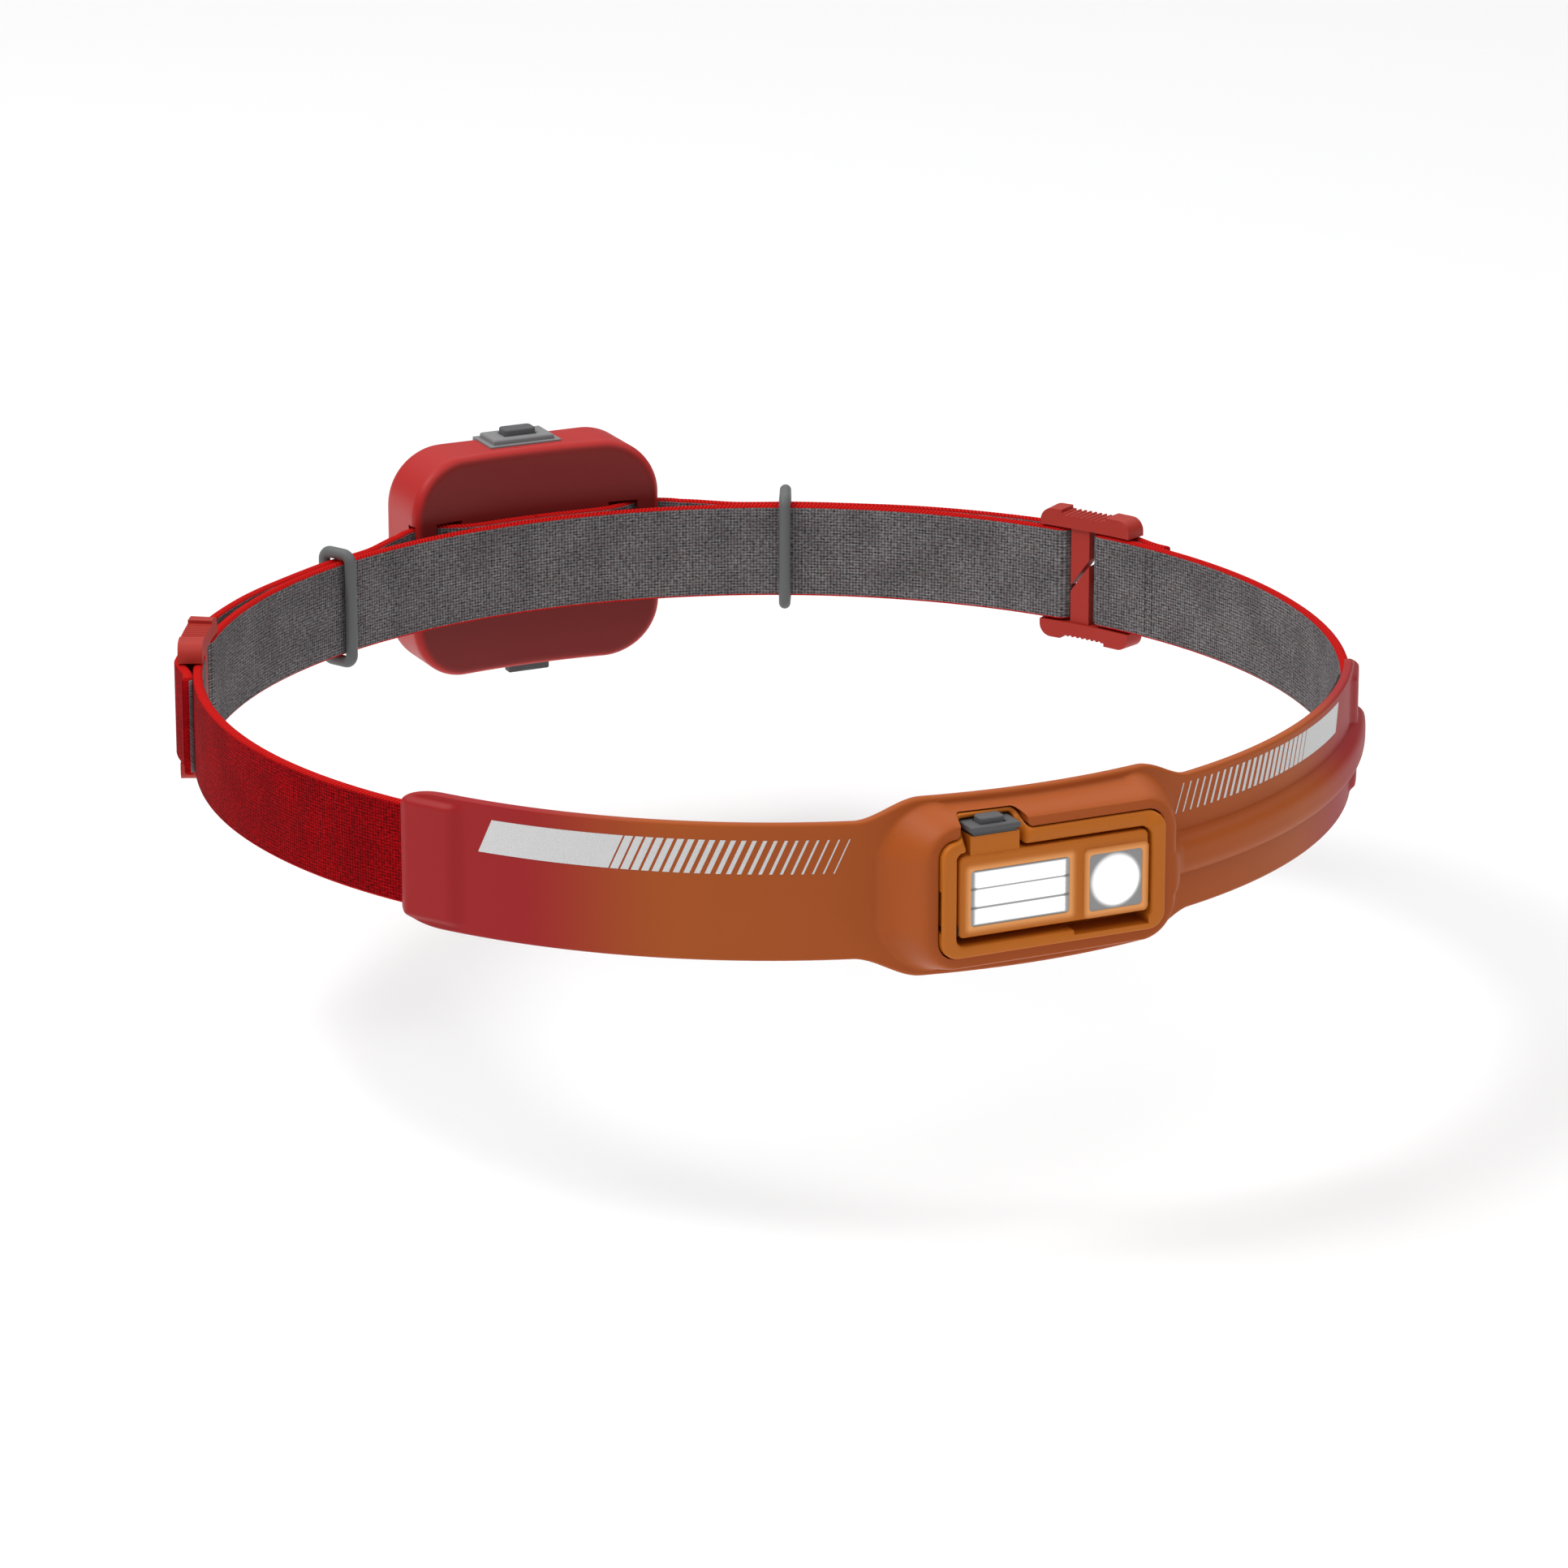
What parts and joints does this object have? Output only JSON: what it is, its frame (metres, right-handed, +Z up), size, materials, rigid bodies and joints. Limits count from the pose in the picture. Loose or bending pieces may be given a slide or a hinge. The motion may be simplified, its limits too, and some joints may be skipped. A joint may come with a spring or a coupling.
{
  "type": "headlamp",
  "caption": "Slim headlamp: moulded front band with tilting flood and spot lamp, webbing with slide adjusters, rear battery pack with button and charging door.",
  "frame": {"origin": "centre of the head loop at mid-height of the webbing", "axes": "+Z up out of the loop, -Y the way the lamp faces, +Y the battery pack, +X the side of the power lead"},
  "size_m": [0.2069, 0.2287, 0.0473],
  "materials": {
    "band_shell": "soft-touch moulding, crimson ends fading to burnt orange",
    "band_lining": "brushed knit over thin foam",
    "bezel_orange": "satin amber orange",
    "lamp_case": "satin amber orange",
    "lens_clear": "clear moulded lens",
    "reflector": "vacuum metallised",
    "seal": "matte silicone",
    "board": "green circuit board",
    "white_led": "phosphor package",
    "red_emitter": "red package",
    "switch": "plated",
    "button_grey": "mid grey, fine texture",
    "steel": "plain",
    "washer": "matte",
    "webbing": "woven elastic, heathered red outside, grey inside",
    "adjuster_red": "moulded red",
    "keeper_grey": "mid grey",
    "lead_red": "round jacket",
    "gland": "matte",
    "pack_red": "satin red",
    "rear_lens": "tinted window",
    "battery_foil": "pouch cell",
    "foam": "open-cell pad",
    "door_grey": "mid grey"
  },
  "bodies": {
    "headband": {"front_band": "band_shell", "band_liner": "band_lining", "lamp_bezel": "bezel_orange", "pack_gasket": "seal", "rear_board": "board", "pack_board": "board", "rear_leds": "red_emitter", "pack_switch": "switch", "pack_button_plate": "button_grey", "bezel_screws": "steel", "pack_screws": "steel", "door_hinge_pin": "steel", "usb_socket": "steel", "strap_left": "webbing", "strap_right": "webbing", "rear_strap": "webbing", "adjuster_left": "adjuster_red", "adjuster_right": "adjuster_red", "lead": "lead_red", "lead_gland": "gland", "pack_inner_shell": "pack_red", "pack_outer_cover": "pack_red", "rear_light_lens": "rear_lens", "battery_cell": "battery_foil", "battery_foam": "foam", "port_door_base": "door_grey"},
    "lamp": {"lamp_front_case": "lamp_case", "lamp_back_case": "lamp_case", "hinge_pins": "steel", "hinge_washers": "washer", "flood_lens": "lens_clear", "spot_lens": "lens_clear", "flood_reflector": "reflector", "spot_reflector": "reflector", "lens_gasket": "seal", "lamp_board": "board", "flood_leds": "white_led", "spot_led": "white_led", "red_led": "red_emitter", "lamp_switch": "switch", "lamp_button_plate": "button_grey"},
    "lamp_button": {"lamp_button": "button_grey"},
    "pack_button": {"pack_button": "button_grey"},
    "port_door": {"port_door": "door_grey"},
    "keeper_left": {"keeper_left": "keeper_grey"},
    "keeper_right": {"keeper_right": "keeper_grey"}
  },
  "joints": [
    {"name": "lamp_tilt", "type": "hinge", "parent": "headband", "child": "lamp", "pos_m": [0, -0.1074, -0.0055], "axis": [1, 0, 0], "range_deg": [0, 45]},
    {"name": "lamp_button_press", "type": "slide", "parent": "lamp", "child": "lamp_button", "axis": [0, 0, -1], "range_m": [0, 0.0008], "stiffness_N_per_m": 1500, "springref_m": -0.0003},
    {"name": "pack_button_press", "type": "slide", "parent": "headband", "child": "pack_button", "axis": [0, 0, -1], "range_m": [0, 0.0008], "stiffness_N_per_m": 1500, "springref_m": -0.0003},
    {"name": "port_door_open", "type": "hinge", "parent": "headband", "child": "port_door", "pos_m": [0, 0.1124, -0.0206], "axis": [1, 0, 0], "range_deg": [0, 90]},
    {"name": "keeper_left_slide", "type": "hinge", "parent": "headband", "child": "keeper_left", "pos_m": [0, 0, 0], "axis": [0, 0, 1], "range_deg": [-3, 3]},
    {"name": "keeper_right_slide", "type": "hinge", "parent": "headband", "child": "keeper_right", "pos_m": [0, 0, 0], "axis": [0, 0, 1], "range_deg": [-3, 3]}
  ]
}
